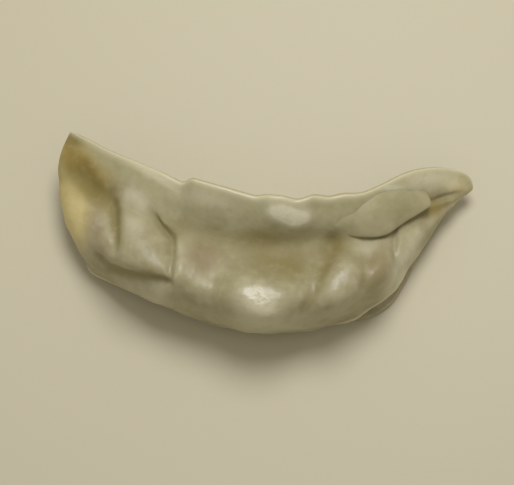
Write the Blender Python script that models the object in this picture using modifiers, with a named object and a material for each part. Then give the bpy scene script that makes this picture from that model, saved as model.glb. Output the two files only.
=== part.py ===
# A boiled shrimp gyoza, lying as it was served: a round of thin dough folded over a lumpy filling.
# Its fold is the convex side towards -Y, its pleated crest leans back towards +Y, and both ends of the
# crest run out into tabs. It is uncut, so it is one solid. Origin: the middle of its footprint, +Z up.
import math

import bmesh
import bpy
import numpy as np
from mathutils import Vector

MM = 0.001

# The cross-sections that the dough is drawn over, from the left end to the right end, in millimetres.
# In each: its place as a share of the length, the crest's edge and root, the belly in front and behind.
SECTIONS = [
    (0.00, (-45.0, 12.5, 11.0), (-46.8, 6.5, 8.0), (-37.8, -14.5, 2.5), (-37.0, -12.0, 2.5)),
    (0.12, (-35.5, 8.0, 15.0), (-37.0, -0.5, 11.0), (-34.2, -16.8, 5.5), (-33.8, -0.5, 6.0)),
    (0.30, (-19.0, 2.7, 21.0), (-19.2, -7.2, 13.6), (-19.0, -23.4, 7.5), (-18.5, 3.3, 8.0)),
    (0.48, (-2.0, -0.5, 23.0), (-2.0, -8.2, 13.4), (-2.0, -26.8, 8.0), (-2.0, 3.5, 8.0)),
    (0.62, (11.0, 1.2, 21.0), (11.0, -6.0, 12.6), (11.5, -24.0, 7.5), (11.5, 4.5, 7.5)),
    (0.75, (21.5, 7.0, 16.5), (21.0, -2.5, 11.0), (21.5, -18.5, 6.0), (22.5, 6.0, 6.5)),
    (0.86, (30.5, 13.8, 11.0), (29.7, 5.0, 7.5), (29.8, -7.6, 3.8), (31.0, 5.5, 4.5)),
    (0.95, (39.6, 15.6, 6.6), (38.2, 10.0, 4.6), (37.2, 8.8, 3.6), (37.6, 9.4, 3.0)),
    (1.00, (41.9, 13.5, 5.0), (41.7, 12.4, 4.6), (41.5, 12.1, 4.3), (41.5, 12.2, 4.0)),
]
RINGS = 22
READ_AHEAD = 0.02  # how far along the next section is read for the crest's direction
SUBDIVISIONS = 2

# Across a section: how thick the crest is and how it bends, and where the body's own corners lie.
CREST_THICKNESS = 2.0
CREST_BEND = 0.7
CREST_LIP_AT = 0.86
CREST_BEND_AT = 0.45
SHOULDER_AT = 0.33
SHOULDER_RISE = 4.3
BROW_AT_ENDS = 0.67
BROW_AT_MIDDLE = 0.83
BROW_RISE = 11.6
BACK_LOW_AT = 0.66
BACK_HIGH_AT = 0.30
BACK_RISE = 1.5
FRONT_TUCK = 0.14
BACK_TUCK = 0.05

# Along the length: the filling swells in from the ends, the left end bulges out between its corners, and
# the right tab is clear of the ground.
LEFT_BULGE = 2.0
LEFT_BULGE_TO = 0.16
LEFT_SWELL = (0.02, 0.24)
RIGHT_SWELL = (0.04, 0.26)
GROUND_SINK = 1.2
TAB_FROM = 0.86
TAB_LIFT = 3.6

# The photograph looks down on the dumpling at this angle, and the places below are as it shows them:
# millimetres across, and millimetres up the picture.
VIEW_ANGLE = math.radians(72)

# What the filling pushes out: across, up, half-width, half-height, turn in degrees, and how far.
LUMPS = {
    "shrimp at the left": (-25.8, -3.8, 4.8, 8.4, 10, 2.2),
    "strip at the far left": (-35.2, -5.5, 3.0, 8.0, 12, 0.8),
    "panel at the left end": (-41.6, -1.0, 2.8, 8.5, 18, 1.2),
    "roll under the left": (-24.5, -16.6, 9.0, 2.2, -12, 1.3),
    "middle, left column": (-15.8, -8.5, 3.6, 7.0, 6, 0.9),
    "middle, brow": (0.8, -16.0, 8.0, 5.5, -6, 2.0),
    "lump at the right": (15.8, -9.4, 3.8, 6.2, -30, 2.3),
    "strip at the right": (24.0, -8.0, 3.6, 8.0, 5, 0.8),
    "light facet of the crest": (3.8, 2.9, 6.5, 3.0, -4, 0.7),
}
LUMP_BLEND = 3  # the higher, the more the nearest lump alone counts
# Where the dough is drawn in: the line, its depth and its width.
CREASES = {
    "fold beside the shrimp": ([(-24.8, 1.2), (-22.6, -3.0), (-20.0, -5.2), (-18.6, -16.5)], 1.4, 1.3),
    "fold under the shrimp": ([(-36.5, -8.5), (-31.0, -12.4), (-25.0, -13.0), (-15.5, -14.0)], 1.3, 1.9),
    "groove left of the shrimp": ([(-33.4, 3.5), (-31.6, -1.5), (-29.2, -10.8)], 1.2, 1.5),
    "groove right of the middle": ([(13.4, 1.5), (13.0, -6.0), (11.3, -12.0), (7.5, -19.0)], 1.0, 1.9),
    "line of the right panel": ([(25.8, 5.0), (26.3, -2.0), (27.8, -8.0)], 0.8, 1.2),
    "dent in the right strip": ([(20.8, 0.0), (20.5, -13.0)], 0.7, 1.6),
    "hollow under the left crest": ([(-43.5, 7.5), (-38.0, 3.5), (-31.5, -1.0)], 1.4, 2.4),
    "dent left of the brow": ([(-9.0, -8.0), (-8.0, -22.0)], 0.7, 2.8),
}
CREASE_TAPER = 4.0

# Along the crest: how far its edge runs past its section, with a notch, and how far it waves.
EDGE_REACH = [
    (-38, 0), (-29, -0.9), (-23, -1.7), (-19.2, -2.7), (-17.2, -0.5), (-10, -0.8), (-2.8, -1.5),
    (-0.3, -0.3), (2.5, -0.2), (5.2, -0.9), (8, 0.2), (12, -0.9), (14.7, -0.3), (18.5, -0.9), (26, 0),
]
CREST_WAVE = [
    (-45, 0), (-36, 0.6), (-27, -0.4), (-19.2, -0.9), (-16.8, 0.6), (-9, -0.3), (-2.4, -0.6),
    (0, 0.2), (7.6, 0.2), (9.2, -0.6), (13, -0.8), (17, 0.4), (24, 0),
]
# The pleats behind: where the first one's folded edge lies, how far the next one is and strays from
# there, and how far each runs, stands out and leans.
PLEATS = 5
FIRST_PLEAT = -30.0
PLEAT_SPACING = 9.7
PLEAT_STRAY = 1.1
PLEAT_STRAY_TURN = 5.0
PLEAT_RUN = 9.0
PLEAT_HEIGHT = 1.3
PLEAT_LEAN = 0.3

# Where lumps and creases, and the pleats behind, start and are whole: the first two are the share of a
# place's normal that turns to the view and to the back, and the last is a height.
TURNED_TO_VIEW = (-0.1, 0.4)
TURNED_TO_BACK = (-0.1, 0.3)
PLEAT_FOOT = (4.0, 11.0)

DOUGH_COLOUR = (0.43, 0.385, 0.225, 1)
DOUGH_ROUGHNESS = 0.4


def smooth_step(low, high, value):
    """Rises smoothly from 0 at low to 1 at high."""
    share = np.clip((value - low) / (high - low), 0, 1)
    return share * share * (3 - 2 * share)


def section_point(column, along):
    """One of the sections' points at a share of the length, on a smooth curve through them all."""
    places = [section[0] for section in SECTIONS]
    points = [Vector(section[column]) for section in SECTIONS]
    last = len(SECTIONS) - 1
    i = 0
    while i < last - 1 and along > places[i + 1]:
        i += 1
    before, after = max(i - 1, 0), min(i + 2, last)
    width = places[i + 1] - places[i]
    leave = (points[i + 1] - points[before]) / (places[i + 1] - places[before]) * width
    arrive = (points[after] - points[i]) / (places[after] - places[i]) * width
    f = (along - places[i]) / width
    return (
        points[i] * (2 * f**3 - 3 * f**2 + 1)
        + leave * (f**3 - 2 * f**2 + f)
        + points[i + 1] * (3 * f**2 - 2 * f**3)
        + arrive * (f**3 - f**2)
    )


def facing_up(first, second, axis):
    """The direction square to two others, on the side where the given axis is positive."""
    across = first.cross(second).normalized()
    return across if across[axis] > 0 else -across


def ring_points(along):
    """One ring of the cage: down the front from the crest's edge, across the ground and up the back.
    Each point comes with its share of the crest: 1 at the edge and 0 from the root down."""
    edge, root, front, back = [section_point(column, along) for column in (1, 2, 3, 4)]
    ahead = section_point(2, min(along + READ_AHEAD, 1)) - section_point(2, max(along - READ_AHEAD, 0))
    out = facing_up(edge - root, ahead, 2)
    wall = facing_up(root - back, ahead, 1)
    full = smooth_step(*LEFT_SWELL, along) * smooth_step(*RIGHT_SWELL, 1 - along)
    half = out * (CREST_THICKNESS / 2)
    thin = half * (1 - full)
    swell = wall * BACK_RISE * full - thin
    bulge = -LEFT_BULGE * (1 - smooth_step(0, LEFT_BULGE_TO, along))
    shoulder = Vector((bulge, 0, SHOULDER_RISE * full)) + thin
    brow = Vector((bulge, 0, BROW_RISE * full)) + thin
    lip = root.lerp(edge, CREST_LIP_AT)
    bend = root.lerp(edge, CREST_BEND_AT) + out * CREST_BEND
    brow_at = BROW_AT_ENDS + (BROW_AT_MIDDLE - BROW_AT_ENDS) * full
    lifted = smooth_step(TAB_FROM, 1, along)
    front_foot = front.lerp(back, FRONT_TUCK)
    back_foot = back.lerp(front, BACK_TUCK)
    front_foot.z = back_foot.z = TAB_LIFT * lifted - GROUND_SINK * (1 - lifted)
    points = [
        (edge, 1),
        (lip + half, CREST_LIP_AT),
        (bend + half, CREST_BEND_AT),
        (root + half, 0),
        (root.lerp(front, SHOULDER_AT) + shoulder, 0),
        (root.lerp(front, brow_at) + brow, 0),
        (front, 0),
        (front_foot, 0),
        (front_foot.lerp(back_foot, 0.5), 0),
        (back_foot, 0),
        (back, 0),
        (root.lerp(back, BACK_LOW_AT) + swell, 0),
        (root.lerp(back, BACK_HIGH_AT) + swell, 0),
        (root - half, 0),
        (bend - half, CREST_BEND_AT),
        (lip - half, CREST_LIP_AT),
    ]
    return points, (edge - root).normalized(), out


def cage():
    """The coarse cage: rings joined side by side, with each end zipped shut along its seam."""
    shape = bmesh.new()
    lean_layer = shape.verts.layers.float_vector.new("lean")
    out_layer = shape.verts.layers.float_vector.new("out")
    rings = []
    for i in range(RINGS):
        points, lean, out = ring_points(i / (RINGS - 1))
        ring = []
        for point, share in points:
            vert = shape.verts.new(point * MM)
            vert[lean_layer] = lean * share
            vert[out_layer] = out * share
            ring.append(vert)
        rings.append(ring)
    count = len(rings[0])
    for left, right in zip(rings, rings[1:]):
        for j in range(count):
            k = (j + 1) % count
            shape.faces.new((left[j], left[k], right[k], right[j]))
    middle = count // 2
    for ring in (rings[0], rings[-1]):
        shape.faces.new((ring[0], ring[1], ring[-1]))
        for j in range(1, middle - 1):
            shape.faces.new((ring[j], ring[j + 1], ring[-j - 1], ring[-j]))
        shape.faces.new((ring[middle - 1], ring[middle], ring[middle + 1]))
    bmesh.ops.recalc_face_normals(shape, faces=shape.faces)
    return shape


def smoothed(shape):
    """The cage's smooth surface, as a mesh of its own."""
    rough = bpy.data.meshes.new("rough")
    shape.to_mesh(rough)
    shape.free()
    blank = bpy.data.objects.new("blank", rough)
    bpy.context.scene.collection.objects.link(blank)
    smooth = blank.modifiers.new("smooth", "SUBSURF")
    smooth.levels = SUBDIVISIONS
    smooth.render_levels = SUBDIVISIONS
    graph = bpy.context.evaluated_depsgraph_get()
    mesh = bpy.data.meshes.new_from_object(blank.evaluated_get(graph))
    bpy.data.objects.remove(blank)
    bpy.data.meshes.remove(rough)
    return mesh


def lump_heights(across, up):
    """How far the filling's lumps stand out at each place, where each flows into the next."""
    total = np.zeros_like(across)
    for x, y, half_width, half_height, turn, height in LUMPS.values():
        c, s = math.cos(math.radians(turn)), math.sin(math.radians(turn))
        dx, dy = across - x, up - y
        far = ((dx * c + dy * s) / half_width) ** 2 + ((dy * c - dx * s) / half_height) ** 2
        total += (height * np.exp(-far)) ** LUMP_BLEND
    return total ** (1 / LUMP_BLEND)


def line_distance(across, up, line):
    """The distance from each place to a line of straight pieces."""
    nearest = np.full(len(across), np.inf)
    for (x0, y0), (x1, y1) in zip(line, line[1:]):
        dx, dy = x1 - x0, y1 - y0
        share = np.clip(((across - x0) * dx + (up - y0) * dy) / (dx * dx + dy * dy), 0, 1)
        nearest = np.minimum(nearest, np.hypot(across - x0 - share * dx, up - y0 - share * dy))
    return nearest


def crease_depths(across, up):
    """How far the creases draw the dough in at each place, fading out towards their ends."""
    deepest = np.zeros_like(across)
    for line, depth, width in CREASES.values():
        depths = depth * np.exp(-((line_distance(across, up, line) / width) ** 2))
        for x, y in (line[0], line[-1]):
            depths *= smooth_step(0, CREASE_TAPER, np.hypot(across - x, up - y))
        deepest = np.maximum(deepest, depths)
    return deepest


def pleat_heights(across, height):
    """How far the pleats stand out: most at each one's folded edge, less along its run."""
    total = np.zeros_like(across)
    for i in range(PLEATS):
        start = FIRST_PLEAT + PLEAT_SPACING * i + PLEAT_STRAY * math.sin(PLEAT_STRAY_TURN * i)
        share = (across - start - height * PLEAT_LEAN) / PLEAT_RUN
        total += np.where((share >= 0) & (share < 1), 1 - share, 0)
    return total * PLEAT_HEIGHT


def read(items, name):
    """Three numbers of each vertex, one row a vertex."""
    values = np.empty(len(items) * 3)
    items.foreach_get(name, values)
    return values.reshape(-1, 3)


def sculpt(mesh):
    """Moves the smooth form's points to raise the lumps, draw in the creases and wave the crest."""
    points = read(mesh.vertices, "co") / MM
    normals = read(mesh.vertices, "normal")
    lean = read(mesh.attributes["lean"].data, "vector")
    out = read(mesh.attributes["out"].data, "vector")
    crest = np.linalg.norm(out, axis=1)
    across = points[:, 0]
    up = points[:, 1] * math.sin(VIEW_ANGLE) + points[:, 2] * math.cos(VIEW_ANGLE)
    towards_view = normals @ (0, -math.cos(VIEW_ANGLE), math.sin(VIEW_ANGLE))
    seen = smooth_step(*TURNED_TO_VIEW, towards_view)
    behind = smooth_step(*TURNED_TO_BACK, normals[:, 1]) * (1 - seen)
    push = (lump_heights(across, up) - crease_depths(across, up)) * seen
    pleats = pleat_heights(across, points[:, 2]) * smooth_step(*PLEAT_FOOT, points[:, 2])
    push += pleats * behind * (1 - crest**2)
    reach = np.interp(across, *zip(*EDGE_REACH))
    wave = np.interp(across, *zip(*CREST_WAVE))
    points += normals * push[:, None] + lean * reach[:, None] + out * wave[:, None]
    points[:, 2] = np.maximum(points[:, 2], 0)
    middle = (points.min(axis=0) + points.max(axis=0)) / 2
    points[:, :2] -= middle[:2]
    mesh.vertices.foreach_set("co", (points * MM).ravel())
    mesh.update()


def dough_material():
    dough = bpy.data.materials.new("dough")
    dough.use_nodes = True
    shader = dough.node_tree.nodes["Principled BSDF"]
    shader.inputs["Base Color"].default_value = DOUGH_COLOUR
    shader.inputs["Roughness"].default_value = DOUGH_ROUGHNESS
    shader.inputs["Metallic"].default_value = 0
    return dough


def main():
    for obj in list(bpy.data.objects):
        bpy.data.objects.remove(obj)
    collection = bpy.data.collections.new("shrimp_gyoza")
    bpy.context.scene.collection.children.link(collection)
    mesh = smoothed(cage())
    mesh.name = "gyoza"
    sculpt(mesh)
    mesh.materials.append(dough_material())
    mesh.shade_smooth()
    gyoza = bpy.data.objects.new("gyoza", mesh)
    collection.objects.link(gyoza)


main()
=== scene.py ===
# Boiled shrimp gyoza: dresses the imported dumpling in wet, half see-through dough.
# Sizes are in millimetres until mm turns them into metres.
import math

import bmesh
import bpy
import numpy as np
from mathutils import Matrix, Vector, noise


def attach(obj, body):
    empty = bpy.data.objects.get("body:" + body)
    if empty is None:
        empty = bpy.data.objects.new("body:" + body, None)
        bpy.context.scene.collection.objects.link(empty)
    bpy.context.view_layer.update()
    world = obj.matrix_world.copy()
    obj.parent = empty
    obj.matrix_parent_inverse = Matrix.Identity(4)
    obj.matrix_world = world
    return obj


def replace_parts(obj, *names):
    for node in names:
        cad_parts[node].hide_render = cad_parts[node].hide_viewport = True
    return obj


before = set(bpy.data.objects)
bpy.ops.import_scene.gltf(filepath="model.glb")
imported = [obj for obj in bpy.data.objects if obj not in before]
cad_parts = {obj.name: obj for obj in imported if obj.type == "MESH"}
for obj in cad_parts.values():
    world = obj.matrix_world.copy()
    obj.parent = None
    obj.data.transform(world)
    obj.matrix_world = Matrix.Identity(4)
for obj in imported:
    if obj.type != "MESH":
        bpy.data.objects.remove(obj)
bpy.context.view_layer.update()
mm = 0.001
viewElevation = 72  # how high the camera stands, in degrees, which also places the relief
print("frame loaded")


# The dumpling's form: the cross-sections from the left end to the right end. Each has its place as
# a share of the length, the crest's edge and root, and the belly in front and behind.
form = {
    "sections": [
        (0.00, (-45.0, 12.5, 11.0), (-46.8, 6.5, 8.0), (-37.8, -14.5, 2.5), (-37.0, -12.0, 2.5)),
        (0.12, (-35.5, 8.0, 15.0), (-37.0, -0.5, 11.0), (-34.2, -16.8, 5.5), (-33.8, -0.5, 6.0)),
        (0.30, (-19.0, 2.7, 21.0), (-19.2, -7.2, 13.6), (-19.0, -23.4, 7.5), (-18.5, 3.3, 8.0)),
        (0.48, (-2.0, -0.5, 23.0), (-2.0, -8.2, 13.4), (-2.0, -26.8, 8.0), (-2.0, 3.5, 8.0)),
        (0.62, (11.0, 1.2, 21.0), (11.0, -6.0, 12.6), (11.5, -24.0, 7.5), (11.5, 4.5, 7.5)),
        (0.75, (21.5, 7.0, 16.5), (21.0, -2.5, 11.0), (21.5, -18.5, 6.0), (22.5, 6.0, 6.5)),
        (0.86, (30.5, 13.8, 11.0), (29.7, 5.0, 7.5), (29.8, -7.6, 3.8), (31.0, 5.5, 4.5)),
        (0.95, (39.6, 15.6, 6.6), (38.2, 10.0, 4.6), (37.2, 8.8, 3.6), (37.6, 9.4, 3.0)),
        (1.00, (41.9, 13.5, 5.0), (41.7, 12.4, 4.6), (41.5, 12.1, 4.3), (41.5, 12.2, 4.0)),
    ],
    "rings": 22,
    "readAhead": 0.02,  # how far along the next section is read for the crest's direction
    "smoothing": 4,
    "crestThickness": 2.0,
    "crestBend": 0.7,
    "lipAt": 0.88,
    "bendAt": 0.45,
    # the valley under the crest carries painted shade
    "bendValley": 0.1,  # how much of the tone of the valley under the crest shows here
    "seamDepth": 0.5,  # between the two layers along the crest's edge
    "seamWidth": 0.6,  # as a share of the crest's thickness
    "shoulderAt": 0.33,
    "shoulderRise": 4.3,
    "shoulderValley": 0.3,
    "browAtEnds": 0.67,
    "browAtMiddle": 0.83,
    "browRise": 11.6,
    "backLowAt": 0.66,
    "backHighAt": 0.30,
    "backRise": 1.5,
    "frontTuck": 0.14,
    "backTuck": 0.05,
    "leftSwell": (0.02, 0.24),
    "rightSwell": (0.04, 0.26),
    "groundSink": 1.2,
    "tabFrom": 0.86,
    "tabLift": 3.6,
    "tabEnd": (42.2, 12.6, 4.6),
    "leftBulge": 2.0,
    "leftBulgeTo": 0.16,
    "heelLift": 2.4,  # how far the foot's left end rises and draws in, and up to where
    "heelDraw": 2.6,
    "heelTo": 0.1,
}

# What shows on the form, placed as the camera sees it: millimetres across, and up the picture.
relief = {
    "lumps": {  # across, up, half-width, half-height, turn in degrees, how far it stands out
        "shrimp at the left": (-25.4, -3.8, 5.0, 8.4, 10, 2.2),
        "strip at the far left": (-35.2, -5.5, 3.0, 8.0, 12, 0.8),
        "panel at the left end": (-41.6, -1.0, 2.8, 8.5, 18, 1.2),
        "roll under the left": (-24.5, -16.6, 9.0, 2.2, -12, 1.3),
        "middle, left column": (-15.8, -8.5, 3.6, 7.0, 6, 0.9),
        "middle, brow": (0.8, -16.0, 8.0, 5.5, -6, 2.0),
        "lump at the right": (15.8, -9.4, 3.8, 6.2, -30, 2.3),
        "strip at the right": (24.0, -8.0, 3.6, 8.0, 5, 0.8),
        "light facet of the crest": (3.8, 2.9, 6.5, 3.0, -4, 0.7),
    },
    "creases": {  # the line, its depth and width, and how far its right side laps over its left
        "fold beside the shrimp": (
            [(-23.8, 1.2), (-21.5, -2.9), (-19.0, -5.1), (-18.2, -8.5), (-17.8, -16.5)],
            0.9, 1.0, 0.9,
        ),
        "fold under the shrimp": (
            [(-36.5, -8.5), (-31.0, -12.4), (-25.0, -13.0), (-15.5, -14.0)], 1.2, 1.4, 0.8,
        ),
        "groove left of the shrimp": ([(-33.4, 3.5), (-31.6, -1.5), (-29.2, -10.8)], 1.2, 1.3, 0),
        "groove right of the middle": (
            [(13.4, 1.5), (13.0, -6.0), (11.3, -12.0), (7.5, -19.0)], 1.0, 1.9, 0,
        ),
        "line of the right panel": ([(25.8, 5.0), (26.3, -2.0), (27.8, -8.0)], 0.5, 0.7, 0.5),
        "dent in the right strip": ([(20.8, 0.0), (20.5, -13.0)], 0.7, 1.6, 0),
        "hollow under the left crest": ([(-43.5, 7.5), (-38.0, 3.5), (-31.5, -1.0)], 1.1, 2.9, 0),
        "dent left of the brow": ([(-9.0, -8.0), (-8.0, -22.0)], 0.7, 2.8, 0),
        "lower edge of the tab": ([(40.2, 12.6), (35.5, 10.7), (31.0, 8.2)], 0.5, 0.6, 0.5),
    },
    "facets": {  # where the wet skin lies flat and finely wrinkled, and how flat
        "brow": (0.6, -15.0, 5.0, 2.8, -24, 0.75),
        "lump at the right": (15.6, -9.4, 3.1, 4.8, -32, 0.6),
    },
    "facetSpread": 4,  # the higher, the nearer a facet's level is to that of its middle
    "crinkleHeight": 0.2,
    "crinkleSize": 2.0,
    "crinkleNoise": (5, 2),  # its seed and how finely it is broken up, as for the other two
    "creaseTaper": 4.0,
    "lapEdge": 1.1,
    "lapRun": 3.5,
    "edgeReach": [  # across, and how far the crest's edge is drawn out
        (-38, 0), (-29, -0.9), (-22.5, -1.7), (-18.2, -2.7), (-16.2, -0.5), (-10, -0.8),
        (-2.8, -1.5), (-0.3, -0.3), (2.5, -0.2), (5.2, -0.9), (8, 0.2), (12, -0.9), (14.7, -0.3),
        (18.5, -0.9), (26, 0),
    ],
    "crestWave": [  # across, and how far the crest sways forward
        (-45, 0), (-36, 0.6), (-27, -0.4), (-18.2, -0.9), (-15.8, 0.6), (-9, -0.3), (-2.4, -0.6),
        (0, 0.2), (7.6, 0.2), (9.2, -0.6), (13, -0.8), (17, 0.4), (24, 0),
    ],
    "cornerBlur": 0.5,  # how far such a line's corners are rounded, and its reach and step
    "lineReach": 50,
    "lineStep": 0.1,
    "pleats": 5,
    "firstPleat": -30.0,
    "pleatSpacing": 9.7,
    "pleatStray": 1.1,
    "strayTurn": 5,
    "pleatLean": 0.3,
    "leanStray": 0.18,
    "leanTurn": 3,
    "pleatEdge": (-0.12, 0.04),
    "pleatRun": 9.0,
    "pleatHeight": 1.3,
    "pleatFoot": (4, 11),
    "hemLine": [(-40, 2.6), (14, 2.6), (22, 5.2), (30, 4.4)],
    "hemWidth": 0.9,
    "hemHeight": 0.8,
    "hemWave": 0.12,  # as a share of its height
    "hemWaveLength": 8.5,
    "hemEnd": (27, 32),
    "wrinkleHeight": 0.11,
    "wrinkleSize": (3.2, 9.0, 9.0),
    "wrinkleNoise": (3, 3),
    "calmGround": (1, 5),  # heights between which the wrinkles start
    "calmCrest": (0.6, 0.9),
    "calmShare": 0.8,
    "crestBack": 0.4,  # how much of the crest's tone its back shows
    "unevenness": 0.4,
    "unevenSize": 8.0,
    "unevenNoise": (1, 2),
    "turnedToView": (-0.1, 0.4),
    "tintedFrom": (-0.5, 0.1),
    "turnedToBack": (-0.1, 0.3),
    "turnedToFront": (0.2, 0.6),
}

# Where the dough's colour changes, where light and shade are painted into it, or where it is wetter
# or drier: placed as the lumps are, and how strong.
tints = {
    # whitish: mostly the shrimp showing white through the skin; the spots marked below are painted
    # light
    "whitishAndPaintedLight": {
        "shrimp at the left": (-26.8, -2.6, 3.4, 5.0, 10, 0.65),
        "top of the shrimp": (-28.3, 0.8, 2.8, 4.0, 10, 1.5),
        "middle, left column": (-16.8, -7.6, 2.0, 5.0, 6, 0.5),
        "crest right of the notch": (-12.5, 4.6, 7.0, 2.4, -8, 0.7),
        # painted highlight along the rim left of the notch
        "rim left of the notch": (-24.5, 8.6, 5.5, 1.0, -17, 1.2),
        # painted light on the crest's facet, which faces up to the lamp
        "facet of the crest": (4.2, 3.2, 4.2, 1.9, -8, 2.6),
        # painted highlight on the brow
        "brow": (0.8, -15.5, 6.0, 3.6, -6, 0.8),
        # painted highlight on the lump at the right
        "lump at the right": (16.2, -9.4, 3.0, 5.4, -32, 0.2),
        # partly the panel's own paler tone, partly painted light where it turns from the lamp
        "right panel": (29.4, -6.5, 2.8, 7.0, -14, 1.8),
        # painted light on the roll, low down where the lamp leaves it in shade
        "end of the roll": (-20.0, -16.5, 3.0, 2.0, -12, 0.5),
        "roll under the left": (-25.5, -16.2, 6.0, 1.8, -12, 0.5),
        # painted light low on the right panel, which turns from the lamp
        "right panel below": (28.3, -10.5, 2.4, 4.0, -14, 0.8),
        # painted glint behind the flap
        "streak behind the flap": (23.8, 11.2, 2.6, 0.6, 4, 1.2),
        "back of the crest's right end": (30.0, 13.8, 5.0, 2.4, 14, 0.9),
        "left strip below": (-36.0, -9.0, 3.0, 3.0, 0, 0.4),
        # painted light in the shadow under the flap
        "under the flap": (20.5, -0.6, 3.2, 2.8, 0, 1.3),
        "tab": (37.0, 14.2, 4.0, 2.4, 0, 0.6),
        # painted light on the front of the middle, which turns from the lamp
        "front of the middle": (4.0, -20.0, 16.0, 2.8, 2, 0.55),
    },
    # ochre: the hollows, folds and grooves are painted shade; the left tip, the middle of the body
    # and the right strip are the dough's own darker tone
    "ochreAndPaintedShade": {
        "left tip": (-43.2, 13.6, 3.4, 2.8, 0, 1.5),
        "low end of the left hollow": (-36.4, 2.6, 3.2, 2.4, -40, 0.9),
        "hollow at the middle": (0.0, -2.4, 6.5, 1.9, 2, 0.75),
        "hollow beside the flap": (14.4, -1.8, 2.0, 2.6, 0, 0.9),
        "fold under the shrimp": (-26.0, -13.2, 9.0, 1.2, 0, 0.8),
        "groove left of the shrimp": (-31.0, -3.0, 1.6, 6.0, 14, 1.0),
        "groove right of the middle": (12.6, -7.5, 1.6, 7.0, -14, 0.3),
        "middle of the body": (4.5, -8.0, 8.0, 3.5, -8, 1.0),
        "right strip": (23.0, -6.0, 3.4, 8.0, 0, 0.6),
    },
    # amber: painted shade in the left hollow under the crest and under the tab's corner, over the
    # dough's own amber tone
    "amberAndPaintedShade": {
        "hollow at the left": (-39.6, 6.2, 8.0, 3.2, -42, 1.6),
        "corner of the tab": (33.0, 8.0, 3.2, 2.0, 12, 1.0),
    },
    "yellow": {
        "left end": (-44.0, 6.5, 4.2, 8.0, 12, 1.2),
        "hollow at the left": (-39.0, 5.5, 5.0, 2.6, -36, 0.8),
        "panel at the left end": (-41.0, -2.0, 3.6, 7.5, 18, 1.5),
        "tab": (37.8, 13.5, 2.6, 1.8, 0, 0.9),
        "back of the crest's right end": (29.0, 13.6, 8.0, 2.0, 18, 0.3),
        "left crest": (-36.0, 7.0, 8.0, 3.0, -30, 0.5),
    },
    "pink": {
        "strip at the far left": (-35.2, -5.5, 2.4, 7.0, 12, 0.8),
        "shrimp in the middle": (-12.0, -7.8, 3.4, 3.2, 0, 1.6),
        "strip at the right": (23.0, -4.0, 3.6, 5.0, 0, 0.9),
        "foot right of the middle": (9.0, -16.5, 3.0, 3.0, 20, 0.6),
    },
    # painted light: the crest's facet, which faces up to the lamp, and the right panel, which turns
    # from it
    "paintedPaleLight": {
        "facet of the crest": (4.2, 3.2, 4.9, 2.1, -8, 1.0),
        "right panel": (28.6, -6.5, 2.0, 4.5, -14, 0.55),
    },
    "wet": {
        "brow": (0.4, -14.9, 4.4, 1.9, -27, 1.2),
        "lump at the right": (15.8, -8.8, 2.9, 5.0, -32, 0.5),
        "streak at the left end": (-39.3, -2.6, 1.4, 4.6, 28, 0.8),
        "rim left of the notch": (-24.5, 8.6, 5.5, 1.2, -17, 0.9),
        "facet of the crest": (3.8, 3.0, 3.6, 1.6, -8, 0.7),
        "streak behind the flap": (23.8, 11.2, 2.6, 0.8, 4, 1.0),
        "right panel": (30.2, -0.5, 1.0, 3.6, -14, 0.8),
        "tab": (38.0, 14.0, 2.6, 1.6, 0, 0.6),
    },
    "dry": {
        "left of the groove": (8.5, -12.3, 2.0, 3.2, 0, 1.2),
        "strip at the right": (20.4, -9.4, 2.2, 2.6, 0, 1.2),
    },
}
strongest = 1.2  # the most that a tint's spots add up to


def smoothStep(low, high, value):
    share = np.clip((value - low) / (high - low), 0, 1)
    return share * share * (3 - 2 * share)


def sectionPoint(column, along):
    # one of the sections' points at a share of the length, on a smooth curve through them all
    places = [section[0] for section in form["sections"]]
    points = [Vector(section[column]) for section in form["sections"]]
    last = len(points) - 1
    i = 0
    while i < last - 1 and along > places[i + 1]:
        i += 1
    before, after = max(i - 1, 0), min(i + 2, last)
    width = places[i + 1] - places[i]
    leave = (points[i + 1] - points[before]) / (places[i + 1] - places[before]) * width
    arrive = (points[after] - points[i]) / (places[after] - places[i]) * width
    f = (along - places[i]) / width
    return (
        points[i] * (2 * f**3 - 3 * f**2 + 1)
        + leave * (f**3 - 2 * f**2 + f)
        + points[i + 1] * (3 * f**2 - 2 * f**3)
        + arrive * (f**3 - f**2)
    )


def squareTo(first, second, axis):
    # the direction square to two others, on the side where the given axis is positive
    found = first.cross(second).normalized()
    return found if found[axis] > 0 else -found


def rootAhead(along):
    # which way the crest's root runs
    near, far = max(along - form["readAhead"], 0), min(along + form["readAhead"], 1)
    return sectionPoint(2, far) - sectionPoint(2, near)


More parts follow.
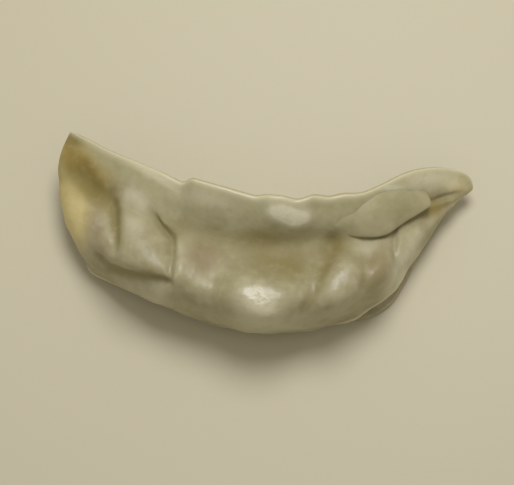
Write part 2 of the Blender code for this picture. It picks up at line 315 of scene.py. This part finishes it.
def ringPoints(along):
    # from the seam in the crest's edge down the front, across the ground and up the back
    edge, root, front, back = [sectionPoint(column, along) for column in (1, 2, 3, 4)]
    ahead = rootAhead(along)
    out = squareTo(edge - root, ahead, 2)
    wall = squareTo(root - back, ahead, 1)
    lean = (edge - root).normalized()
    full = smoothStep(*form["leftSwell"], along) * smoothStep(*form["rightSwell"], 1 - along)
    half = out * (form["crestThickness"] / 2)
    thin = half * (1 - full)
    swell = wall * form["backRise"] * full - thin
    bulge = -form["leftBulge"] * (1 - smoothStep(0, form["leftBulgeTo"], along))
    shoulder = Vector((bulge, 0, form["shoulderRise"] * full))
    brow = Vector((bulge, 0, form["browRise"] * full))
    lip = root.lerp(edge, form["lipAt"])
    bend = root.lerp(edge, form["bendAt"]) + out * form["crestBend"]
    browAt = form["browAtEnds"] + (form["browAtMiddle"] - form["browAtEnds"]) * full
    lifted = smoothStep(form["tabFrom"], 1, along)
    frontFoot = front.lerp(back, form["frontTuck"])
    backFoot = back.lerp(front, form["backTuck"])
    heel = 1 - smoothStep(0, form["heelTo"], along)
    level = form["tabLift"] * lifted - form["groundSink"] * (1 - lifted) + form["heelLift"] * heel
    for foot in (frontFoot, backFoot):
        foot.z = level
        foot.x += form["heelDraw"] * heel
    shoulderPoint = root.lerp(front, form["shoulderAt"]) + shoulder + thin
    points = [  # each with its share of the crest's height, of the valley under it and of the front
        (edge - lean * form["seamDepth"], 1, 0, 1),
        (edge + half * form["seamWidth"], 1, 0, 1),
        (lip + half, form["lipAt"], 0, 1),
        (bend + half, form["bendAt"], form["bendValley"], 1),
        (root + half, 0, 1, 1),
        (shoulderPoint, 0, form["shoulderValley"], 1),
        (root.lerp(front, browAt) + brow + thin, 0, 0, 1),
        (front, 0, 0, 1),
        (frontFoot, 0, 0, 1),
        (frontFoot.lerp(backFoot, 0.5), 0, 0, 0),
        (backFoot, 0, 0, 0),
        (back, 0, 0, 0),
        (root.lerp(back, form["backLowAt"]) + swell, 0, 0, 0),
        (root.lerp(back, form["backHighAt"]) + swell, 0, 0, 0),
        (root - half, 0, 0, 0),
        (bend - half, form["bendAt"], 0, 0),
        (lip - half, form["lipAt"], 0, 0),
        (edge - half * form["seamWidth"], 1, 0, 0),
    ]
    return points, lean, out


def placeRing(shape, ring, along):
    leanLayer = shape.verts.layers.float_vector["lean"]
    outLayer = shape.verts.layers.float_vector["out"]
    valleyLayer = shape.verts.layers.float["valley"]
    frontLayer = shape.verts.layers.float["front"]
    points, lean, out = ringPoints(along)
    for vert, (point, share, valley, front) in zip(ring, points):
        vert.co = point
        vert[valleyLayer] = valley
        vert[frontLayer] = front
        vert[leanLayer] = lean * share
        vert[outLayer] = out * share


def grownRing(shape, ring):
    # extrudes a ring of edges and returns the new ring in the same order
    edges = [shape.edges.get((a, b)) for a, b in zip(ring, ring[1:] + ring[:1])]
    made = bmesh.ops.extrude_edge_only(shape, edges=edges)["geom"]
    new = {item for item in made if isinstance(item, bmesh.types.BMVert)}
    return [next(e.other_vert(v) for e in v.link_edges if e.other_vert(v) in new) for v in ring]


def zipShut(shape, ring):
    # closes an end by drawing the front and the back of its ring together, with the front's values
    middle = len(ring) // 2
    groups = [[ring[0], ring[1], ring[-1]], [ring[middle - 1], ring[middle], ring[middle + 1]]]
    groups += [[ring[j], ring[-j]] for j in range(2, middle - 1)]
    for group in groups:
        centre = sum((vert.co for vert in group), Vector()) / len(group)
        bmesh.ops.pointmerge(shape, verts=group, merge_co=centre)


def doughCage():
    shape = bmesh.new()
    shape.verts.layers.float_vector.new("lean")
    shape.verts.layers.float_vector.new("out")
    shape.verts.layers.float.new("valley")
    shape.verts.layers.float.new("front")
    count = len(ringPoints(0)[0])
    first = bmesh.ops.create_circle(shape, cap_ends=False, radius=1, segments=count)["verts"]
    ring = first
    placeRing(shape, ring, 0)
    for i in range(1, form["rings"]):
        ring = grownRing(shape, ring)
        placeRing(shape, ring, i / (form["rings"] - 1))
    zipShut(shape, first)
    bmesh.ops.pointmerge(shape, verts=ring, merge_co=Vector(form["tabEnd"]))
    bmesh.ops.recalc_face_normals(shape, faces=shape.faces)
    return shape


def smoothedMesh(shape, name):
    rough = bpy.data.meshes.new(name)
    shape.to_mesh(rough)
    shape.free()
    blank = bpy.data.objects.new(name, rough)
    bpy.context.scene.collection.objects.link(blank)
    smooth = blank.modifiers.new("smooth", "SUBSURF")
    smooth.levels = smooth.render_levels = form["smoothing"]
    graph = bpy.context.evaluated_depsgraph_get()
    mesh = bpy.data.meshes.new_from_object(blank.evaluated_get(graph))
    bpy.data.objects.remove(blank)
    bpy.data.meshes.remove(rough)
    return mesh


def ovalShare(across, up, oval):
    # one at the middle of a turned oval, fading out over its half-sizes
    x, y, halfWidth, halfHeight, turn = oval
    c, s = math.cos(math.radians(turn)), math.sin(math.radians(turn))
    dx, dy = across - x, up - y
    return np.exp(-(((dx * c + dy * s) / halfWidth) ** 2) - ((dy * c - dx * s) / halfHeight) ** 2)


def lumpHeights(across, up):
    # cubes keep the tallest lump in charge where two of them overlap
    total = np.zeros_like(across)
    for *oval, height in relief["lumps"].values():
        total += (height * ovalShare(across, up, oval)) ** 3
    return np.cbrt(total)


def tintField(name, across, up):
    total = np.zeros_like(across)
    for *oval, strength in tints[name].values():
        total += strength * ovalShare(across, up, oval)
    return np.minimum(total, strongest)


def lineDistance(across, up, line):
    # distance to a line of straight pieces, the side, and how far inside the line's two ends
    lengths = [math.dist(a, b) for a, b in zip(line, line[1:])]
    nearest = np.full(len(across), np.inf)
    side = np.ones(len(across))
    run = np.zeros(len(across))
    before = 0
    for (x0, y0), (x1, y1), length in zip(line, line[1:], lengths):
        dx, dy = x1 - x0, y1 - y0
        share = np.clip(((across - x0) * dx + (up - y0) * dy) / length**2, 0, 1)
        far = np.hypot(across - x0 - share * dx, up - y0 - share * dy)
        closer = far < nearest
        nearest = np.where(closer, far, nearest)
        turned = (across - x0) * dy - (up - y0) * dx
        side = np.where(closer, np.where(turned < 0, 1, -1), side)
        run = np.where(closer, before + share * length, run)
        before += length
    return nearest, side, np.minimum(run, before - run)


def creaseRelief(across, up):
    # returns how far the creases draw in, and how far the laps beside them stand out
    deepest = np.zeros_like(across)
    laps = np.zeros_like(across)
    for line, depth, width, lap in relief["creases"].values():
        far, side, inside = lineDistance(across, up, line)
        taper = smoothStep(0, relief["creaseTaper"], inside)
        deepest = np.maximum(deepest, depth * np.exp(-((far / width) ** 2)) * taper)
        rise = smoothStep(0, relief["lapEdge"], far * side) * np.exp(-far / relief["lapRun"])
        laps = np.maximum(laps, lap * rise * taper)
    return deepest, laps


def levelled(height, across, up, seen):
    # how far each point rises or sinks where the skin lies flat
    change = np.zeros_like(height)
    for *oval, flat in relief["facets"].values():
        share = ovalShare(across, up, oval) * seen
        middle = np.average(height, weights=share ** relief["facetSpread"])
        change += (middle - height) * share * flat
    return change


def pleatHeights(across, height):
    # the pleats behind the crest, each standing over the next and leaning as it goes down
    total = np.zeros_like(across)
    for i in range(relief["pleats"]):
        stray = relief["pleatStray"] * math.sin(relief["strayTurn"] * i)
        start = relief["firstPleat"] + relief["pleatSpacing"] * i + stray
        lean = relief["pleatLean"] + relief["leanStray"] * math.cos(relief["leanTurn"] * i)
        share = (across - start - height * lean) / relief["pleatRun"]
        total += smoothStep(*relief["pleatEdge"], share) * np.clip(1 - share, 0, 1)
    return total * relief["pleatHeight"]


def softened(table, across):
    # a line through the table's points, with its corners rounded off
    blur, end, step = relief["cornerBlur"], relief["lineReach"], relief["lineStep"]
    places = np.arange(-end, end, step)
    widths = 4  # how many blurs the kernel reaches to each side
    kernel = np.exp(-0.5 * (np.arange(-widths * blur, widths * blur + step, step) / blur) ** 2)
    values = np.convolve(np.interp(places, *zip(*table)), kernel / kernel.sum(), "same")
    return np.interp(across, places, values)


def noiseAt(points, size, seed, octaves):
    roughness, finer, apart = 0.6, 2.0, 17.3
    scaled = points / size + seed * apart
    return np.array([noise.fractal(Vector(p), roughness, finer, octaves) for p in scaled])


def readRows(items, name):
    values = np.empty(len(items) * 3)
    items.foreach_get(name, values)
    return values.reshape(-1, 3)


def hemShare(points, normals):
    # one on the hem along the foot, in front
    across = points[:, 0]
    above = points[:, 2] - softened(relief["hemLine"], across)
    share = np.exp(-((above / relief["hemWidth"]) ** 2))
    share *= smoothStep(*relief["turnedToFront"], -normals[:, 1])
    return share * (1 - smoothStep(*relief["hemEnd"], across))


def skinNoise(points, crest):
    # the skin's small wrinkles, fewer near the ground and on the crest, and its unevenness
    calm = smoothStep(*relief["calmGround"], points[:, 2])
    calm *= 1 - relief["calmShare"] * smoothStep(*relief["calmCrest"], crest)
    wrinkles = noiseAt(points, relief["wrinkleSize"], *relief["wrinkleNoise"])
    uneven = noiseAt(points, relief["unevenSize"], *relief["unevenNoise"])
    return wrinkles * relief["wrinkleHeight"] * calm + uneven * relief["unevenness"] * (1 - crest)


def crinkles(points, across, up):
    # the finer wrinkles on the facets
    share = sum(ovalShare(across, up, oval) for *oval, flat in relief["facets"].values())
    rough = noiseAt(points, relief["crinkleSize"], *relief["crinkleNoise"])
    return rough * relief["crinkleHeight"] * share


def sculpt(mesh):
    # gives the smooth form its relief and its tints, painted light and shade among them, and returns
    # the middle it is moved by
    points = readRows(mesh.vertices, "co")
    normals = readRows(mesh.vertices, "normal")
    lean = readRows(mesh.attributes["lean"].data, "vector")
    out = readRows(mesh.attributes["out"].data, "vector")
    crest = np.linalg.norm(out, axis=1)
    angle = math.radians(viewElevation)
    across = points[:, 0]
    up = points[:, 1] * math.sin(angle) + points[:, 2] * math.cos(angle)
    towards = normals @ (0, -math.cos(angle), math.sin(angle))
    front = np.empty(len(points))
    mesh.attributes["front"].data.foreach_get("value", front)
    seen = smoothStep(*relief["turnedToView"], towards) * front
    behind = smoothStep(*relief["turnedToBack"], normals[:, 1]) * (1 - seen)
    deep, laps = creaseRelief(across, up)
    push = (lumpHeights(across, up) - deep + laps) * seen
    pleats = pleatHeights(across, points[:, 2]) * smoothStep(*relief["pleatFoot"], points[:, 2])
    push += pleats * behind * (1 - crest**2)
    hem = hemShare(points, normals) * front
    wave = 1 + relief["hemWave"] * np.sin(math.tau * across / relief["hemWaveLength"])
    push += hem * wave * relief["hemHeight"]
    push += skinNoise(points, crest) + crinkles(points, across, up) * seen
    level = levelled(points[:, 2] + normals[:, 2] * push, across, up, seen)
    reach = softened(relief["edgeReach"], across)
    sway = softened(relief["crestWave"], across)
    points += normals * push[:, None] + lean * reach[:, None] + out * sway[:, None]
    points[:, 2] += level
    points[:, 2] = np.maximum(points[:, 2], 0)
    tinted = smoothStep(*relief["tintedFrom"], towards) * front
    fields = {name: tintField(name, across, up) * tinted for name in tints}
    # painted shade in the creases, as strong as they are deep
    fields["fold"] = np.minimum(deep, strongest) * seen
    fields["crest"] = crest * (relief["crestBack"] + (1 - relief["crestBack"]) * front)
    # the hem's share, which also places the painted highlight along the hem
    fields["hem"] = hem
    for name, values in fields.items():
        mesh.attributes.new(name, "FLOAT", "POINT").data.foreach_set("value", values)
    middle = (points.min(axis=0) + points.max(axis=0)) / 2
    middle[2] = 0
    mesh.vertices.foreach_set("co", ((points - middle) * mm).ravel())
    mesh.update()
    return Vector(middle)


# The dough's finish: its colours, painted highlights and painted shade among them, and how wet,
# clouded and grained it is. A cloud has the size of its spots in millimetres, and how finely they
# are broken up.
finish = {
    "body": (0.36, 0.315, 0.172, 1),
    "bodyPale": (0.448, 0.403, 0.245, 1),
    "crest": (0.44, 0.4, 0.225, 1),
    # painted highlight along the crest's thin edge and along the hem
    "paintedRimHighlight": (0.64, 0.59, 0.4, 1),
    # whitish: the shrimp's white under the skin, also used for painted light
    "whitishAndPaintedLight": (0.66, 0.61, 0.43, 1),
    # ochre, also used for painted shade in creases, hollows and the valley
    "ochreAndPaintedShade": (0.255, 0.207, 0.067, 1),
    # amber, also painted shade in the left hollow and under the tab
    "amberAndPaintedShade": (0.33, 0.232, 0.045, 1),
    "yellow": (0.68, 0.555, 0.24, 1),
    "pink": (0.35, 0.28, 0.165, 1),
    # painted light for the crest's facet and the right panel
    "paintedPaleLight": (0.82, 0.77, 0.58, 1),
    "wetRoughness": 0.3,
    "valleyRoughness": 0.75,
    "dryRoughness": 0.65,
    "wetness": (3.0, 4),
    "specular": 0.6,
    "subsurface": 0.3,
    "subsurfaceDepth": 2.0 * mm,
    "subsurfaceRadius": (1.0, 0.75, 0.4),
    "mottle": (6.0, 3),
    "fineMottle": (2.0, 3),
    "grain": (0.9, 4),
    "grainStrength": 0.45,
    "grainDepth": 0.15 * mm,
    "crinkle": (1.2, 2),
    "crinkleDepth": 0.12 * mm,
}

# How a cloud or an attribute becomes a share: the values it is read between, and what they become.
blends = {
    "mottle": (0.35, 0.65, 0.0, 1.0),
    "lighter": (0.5, 0.7, 0.0, 0.13),
    "darker": (0.5, 0.3, 0.0, 0.13),
    "crest": (0.1, 0.8, 0.0, 1.0),
    # where along the crest's edge the painted highlight lies
    "paintedRimHighlight": (0.86, 1.0, 0.0, 1.0),
    "hem": (0.3, 0.9, 0.0, 1.0),
    "tint": (0.0, strongest, 0.0, 0.9),
    "paintedPaleLight": (0.38, 0.6, 0.0, 0.7),
    "fold": (0.4, strongest, 0.0, 0.45),
    "valley": (0.2, 0.9, 0.0, 0.45),
    "roughness": (0.3, 0.7, 0.36, 0.5),
    "dryValley": (0.1, 0.6, 0.0, 1.0),
    "dry": (0.1, 0.9, 0.0, 1.0),
    "wet": (0.1, 0.9, 0.0, 1.0),
    "crinkles": (0.2, 1.0, 0.0, 1.0),
}


def wetDough():
    material = bpy.data.materials.new("wetDough")
    material.use_nodes = True
    nodes, links = material.node_tree.nodes, material.node_tree.links
    shader = nodes["Principled BSDF"]
    place = nodes.new("ShaderNodeTexCoord")

    def attribute(name):
        node = nodes.new("ShaderNodeAttribute")
        node.attribute_name = name
        return node.outputs["Fac"]

    def mix(factor, a, b, kind="RGBA"):
        # the sockets go by number, because each kind's have the same names
        first, second, result = {"RGBA": (6, 7, 2), "FLOAT": (2, 3, 0)}[kind]
        node = nodes.new("ShaderNodeMix")
        node.data_type = kind
        for number, value in ((0, factor), (first, a), (second, b)):
            if isinstance(value, (tuple, float)):
                node.inputs[number].default_value = value
            else:
                links.new(value, node.inputs[number])
        return node.outputs[result]

    def ranged(value, blend):
        node = nodes.new("ShaderNodeMapRange")
        node.interpolation_type = "SMOOTHSTEP"
        links.new(value, node.inputs["Value"])
        for socket, limit in zip(("From Min", "From Max", "To Min", "To Max"), blends[blend]):
            node.inputs[socket].default_value = limit
        return node.outputs["Result"]

    def cloud(name):
        size, detail = finish[name]
        node = nodes.new("ShaderNodeTexNoise")
        node.inputs["Scale"].default_value = 1 / (size * mm)
        node.inputs["Detail"].default_value = detail
        links.new(place.outputs["Object"], node.inputs["Vector"])
        return node.outputs["Fac"]

    def bumped(height, depth, strength, before=None):
        node = nodes.new("ShaderNodeBump")
        node.inputs["Distance"].default_value = depth
        links.new(height, node.inputs["Height"])
        if before:
            links.new(before, node.inputs["Normal"])
        if isinstance(strength, float):
            node.inputs["Strength"].default_value = strength
        else:
            links.new(strength, node.inputs["Strength"])
        return node.outputs["Normal"]

    colour = mix(ranged(cloud("mottle"), "mottle"), finish["body"], finish["bodyPale"])
    colour = mix(ranged(attribute("crest"), "crest"), colour, finish["crest"])
    # the tints; whitish, ochre and amber also carry painted light and painted shade
    for name in ("pink", "yellow", "whitishAndPaintedLight", "ochreAndPaintedShade", "amberAndPaintedShade"):
        colour = mix(ranged(attribute(name), "tint"), colour, finish[name])
    # painted light on the crest's facet and the right panel
    colour = mix(ranged(attribute("paintedPaleLight"), "paintedPaleLight"), colour, finish["paintedPaleLight"])
    # painted shade darkens the creases toward ochre
    colour = mix(ranged(attribute("fold"), "fold"), colour, finish["ochreAndPaintedShade"])
    fine = cloud("fineMottle")
    colour = mix(ranged(fine, "lighter"), colour, finish["whitishAndPaintedLight"])
    colour = mix(ranged(fine, "darker"), colour, finish["ochreAndPaintedShade"])
    # painted highlight along the crest's thin edge
    colour = mix(ranged(attribute("crest"), "paintedRimHighlight"), colour, finish["paintedRimHighlight"])
    # painted highlight along the hem
    colour = mix(ranged(attribute("hem"), "hem"), colour, finish["paintedRimHighlight"])
    # painted shade in the valley under the crest, over the thin dough's darker tone
    valley = attribute("valley")
    colour = mix(ranged(valley, "valley"), colour, finish["ochreAndPaintedShade"])
    links.new(colour, shader.inputs["Base Color"])
    wet, dry = attribute("wet"), attribute("dry")
    roughness = ranged(cloud("wetness"), "roughness")
    for share, value in (
        (ranged(valley, "dryValley"), finish["valleyRoughness"]),
        (ranged(dry, "dry"), finish["dryRoughness"]),
        (ranged(wet, "wet"), finish["wetRoughness"]),
    ):
        roughness = mix(share, roughness, value, "FLOAT")
    links.new(roughness, shader.inputs["Roughness"])
    grain = bumped(cloud("grain"), finish["grainDepth"], finish["grainStrength"])
    crinkled = ranged(wet, "crinkles")
    normal = bumped(cloud("crinkle"), finish["crinkleDepth"], crinkled, grain)
    links.new(normal, shader.inputs["Normal"])
    shader.inputs["Subsurface Weight"].default_value = finish["subsurface"]
    shader.inputs["Subsurface Radius"].default_value = finish["subsurfaceRadius"]
    shader.inputs["Subsurface Scale"].default_value = finish["subsurfaceDepth"]
    shader.inputs["Specular IOR Level"].default_value = finish["specular"]
    return material


def addPiece(name, mesh, material):
    mesh.materials.append(material)
    mesh.shade_smooth()
    piece = bpy.data.objects.new(name, mesh)
    bpy.context.scene.collection.objects.link(piece)
    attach(piece, "root")
    print(name, "made:", sum(len(face.vertices) - 2 for face in mesh.polygons), "triangles")
    return piece


def makeDough(material):
    mesh = smoothedMesh(doughCage(), "doughSkin")
    middle = sculpt(mesh)
    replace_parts(addPiece("doughSkin", mesh, material), "gyoza")
    return middle


def finishSheet(shape, name, sheet, material):
    # gives a thin layer of dough its thickness and its rounded edges
    bmesh.ops.recalc_face_normals(shape, faces=shape.faces)
    bmesh.ops.solidify(shape, geom=shape.faces[:], thickness=sheet["thickness"])
    bmesh.ops.recalc_face_normals(shape, faces=shape.faces)
    bmesh.ops.scale(shape, vec=(mm, mm, mm), verts=shape.verts)
    mesh = bpy.data.meshes.new(name)
    shape.to_mesh(mesh)
    shape.free()
    piece = addPiece(name, mesh, material)
    smooth = piece.modifiers.new("smooth", "SUBSURF")
    smooth.levels = smooth.render_levels = sheet["smoothing"]


# The front layer of the crest, which hangs loose over the right end: where it lies along the
# dumpling, and its lower and upper edge as shares of the crest's height, at shares of its length.
flap = {
    "along": (0.60, 0.872),
    "lower": [
        (0, 0.26), (0.08, 0.18), (0.22, 0.14), (0.4, 0.08), (0.6, -0.02), (0.9, 0.0), (1, 0.10),
    ],
    "upper": [
        (0, 0.34), (0.08, 0.46), (0.2, 0.58), (0.39, 0.74), (0.46, 0.81), (0.54, 0.94),
        (0.62, 0.92), (0.75, 0.80), (0.93, 0.60), (1, 0.46),
    ],
    "columns": 16,
    "rows": 6,
    "thickness": 0.85,
    "bend": 0.4,
    "lift": 2.9,
    "wave": 0.5,
    "waves": 2.2,
    "tone": 0.45,  # of the crest's tone, on the whole and at the upper edge
    # at its upper edge the flap's tone rises into the painted rim highlight
    "rimTone": 0.92,
    "rimSharpness": 4,
    "darkEnd": 0.45,
    # painted light along the flap's lower left, where its ridge faces the lamp
    "paintedLightFoot": 0.4,
    "sunk": 0.65,
    "leftSunk": 0.2,  # how much deeper the left end lies, and up to where along the flap
    "leftSunkTo": 0.2,
    "freeBy": 0.6,
    "unevenness": 0.35,
    "unevenTurns": (5.0, 2.0),
    "unevenLayer": 0.5,
    "ridge": 0.6,  # how far the upper edge stands off the crest, and from where to where
    "ridgeFrom": (0.0, 0.2),
    "ridgeTo": (0.45, 0.6),
    "smoothing": 2,
}


def makeFlap(material, middle):
    shape = bmesh.new()
    layers = shape.verts.layers.float
    tone, dark, light = (layers.new(name) for name in ("crest", "ochreAndPaintedShade", "whitishAndPaintedLight"))
    bmesh.ops.create_grid(shape, x_segments=flap["columns"], y_segments=flap["rows"], size=1)
    for vert in shape.verts:
        u, v = vert.co.x / 2 + 0.5, vert.co.y / 2 + 0.5
        along = flap["along"][0] + (flap["along"][1] - flap["along"][0]) * u
        edge, root = sectionPoint(1, along), sectionPoint(2, along)
        out = squareTo(edge - root, rootAhead(along), 2)
        low, high = (float(np.interp(u, *zip(*flap[name]))) for name in ("lower", "upper"))
        # how far it stands off the crest: free in the middle, sunk in at the left end
        free = float(smoothStep(0, flap["freeBy"], u)) * (1 - v**2)
        away = form["crestThickness"] / 2 - flap["sunk"] + flap["lift"] * free
        away -= flap["leftSunk"] * (1 - float(smoothStep(0, flap["leftSunkTo"], u)))
        turns = flap["unevenTurns"]
        spot = Vector((u * turns[0], v * turns[1], flap["unevenLayer"]))
        away += flap["unevenness"] * noise.noise(spot)
        ridge = smoothStep(*flap["ridgeFrom"], u) * (1 - smoothStep(*flap["ridgeTo"], u))
        away += flap["ridge"] * float(ridge) * v**2
        away += flap["wave"] * math.sin(math.tau * flap["waves"] * u) * u * (1 - v)
        away += flap["bend"] * math.sin(math.pi * v)
        # the crest's tone with the painted rim highlight at the upper edge, a darker band toward the
        # right end, and painted light at the lower left
        vert[tone] = flap["tone"] + (flap["rimTone"] - flap["tone"]) * v ** flap["rimSharpness"]
        vert[dark] = flap["darkEnd"] * u * 4 * v * (1 - v)
        vert[light] = flap["paintedLightFoot"] * (1 - u) * (1 - v)
        vert.co = root.lerp(edge, low + (high - low) * v) + out * away - middle
    finishSheet(shape, "frontFlap", flap, material)


# The under layer of skin, which lies out on the ground at the lower right: where it runs along the
# dumpling, and how far it reaches past the belly at shares of its own length.
skinLip = {
    "along": (0.66, 0.885),
    "reach": [(0, -4.0), (0.35, -0.8), (0.6, 1.6), (0.78, 3.0), (0.9, 1.6), (1, -0.5)],
    "inner": 0.3,
    "innerHeight": 2.6,
    "outerHeight": 1.0,
    "wave": 0.35,
    "waves": 2.5,
    "columns": 20,
    "rows": 5,
    "thickness": 1.0,
    "smoothing": 2,
}


def makeSkinLip(material, middle):
    shape = bmesh.new()
    bmesh.ops.create_grid(shape, x_segments=skinLip["columns"], y_segments=skinLip["rows"], size=1)
    for vert in shape.verts:
        u, v = vert.co.x / 2 + 0.5, vert.co.y / 2 + 0.5
        along = skinLip["along"][0] + (skinLip["along"][1] - skinLip["along"][0]) * u
        front, back = sectionPoint(3, along), sectionPoint(4, along)
        outward = (front - back) * Vector((1, 1, 0))
        outer = front + outward.normalized() * float(np.interp(u, *zip(*skinLip["reach"])))
        inner = front.lerp(back, skinLip["inner"])
        inner.z = skinLip["innerHeight"]
        ripple = (1 + math.sin(math.tau * skinLip["waves"] * u)) / 2
        outer.z = skinLip["outerHeight"] + skinLip["wave"] * ripple
        vert.co = outer.lerp(inner, v) - middle
    finishSheet(shape, "skinLip", skinLip, material)


# The studio: a pale floor, one soft lamp behind and above, and the photograph's camera angle.
studio = {
    "floorHalf": 2,  # in metres
    "floorColour": (0.61, 0.555, 0.395, 1),
    "floorRoughness": 0.5,
    "worldColour": (1.0, 0.97, 0.88, 1),
    "worldStrength": 0.39,
    "lampFrom": (15, 190, 480),
    "lampSize": 260,
    "lampPower": 1.42,
    "azimuth": 7.6,
    "lens": 135,
    "distance": 400,
    "aim": (0, -1, 8),
}


def aimed(thing, place, target):
    thing.location = place
    thing.rotation_mode = "QUATERNION"
    thing.rotation_quaternion = (target - place).to_track_quat("-Z", "Y")


def makeStudio():
    shape = bmesh.new()
    bmesh.ops.create_grid(shape, x_segments=1, y_segments=1, size=studio["floorHalf"])
    mesh = bpy.data.meshes.new("floor")
    shape.to_mesh(mesh)
    shape.free()
    paper = bpy.data.materials.new("palePaper")
    paper.use_nodes = True
    matt = paper.node_tree.nodes["Principled BSDF"]
    matt.inputs["Base Color"].default_value = studio["floorColour"]
    matt.inputs["Roughness"].default_value = studio["floorRoughness"]
    mesh.materials.append(paper)
    floor = bpy.data.objects.new("floor", mesh)
    bpy.context.scene.collection.objects.link(floor)

    world = bpy.data.worlds.new("softRoom")
    world.use_nodes = True
    world.node_tree.nodes["Background"].inputs["Color"].default_value = studio["worldColour"]
    world.node_tree.nodes["Background"].inputs["Strength"].default_value = studio["worldStrength"]
    bpy.context.scene.world = world
    bpy.context.scene.view_settings.view_transform = "Standard"

    target = Vector(studio["aim"]) * mm
    data = bpy.data.lights.new("lamp", "AREA")
    data.shape = "DISK"
    data.size = studio["lampSize"] * mm
    data.energy = studio["lampPower"]
    lamp = bpy.data.objects.new("lamp", data)
    bpy.context.scene.collection.objects.link(lamp)
    aimed(lamp, Vector(studio["lampFrom"]) * mm, target)

    view = bpy.data.cameras.new("camera")
    view.lens = studio["lens"]
    camera = bpy.data.objects.new("camera", view)
    bpy.context.scene.collection.objects.link(camera)
    a, e = math.radians(studio["azimuth"]), math.radians(viewElevation)
    back = Vector((math.sin(a) * math.cos(e), -math.cos(a) * math.cos(e), math.sin(e)))
    aimed(camera, target + back * studio["distance"] * mm, target)
    bpy.context.scene.camera = camera
    print("studio made")


dough = wetDough()
middle = makeDough(dough)
makeFlap(dough, middle)
makeSkinLip(dough, middle)
makeStudio()
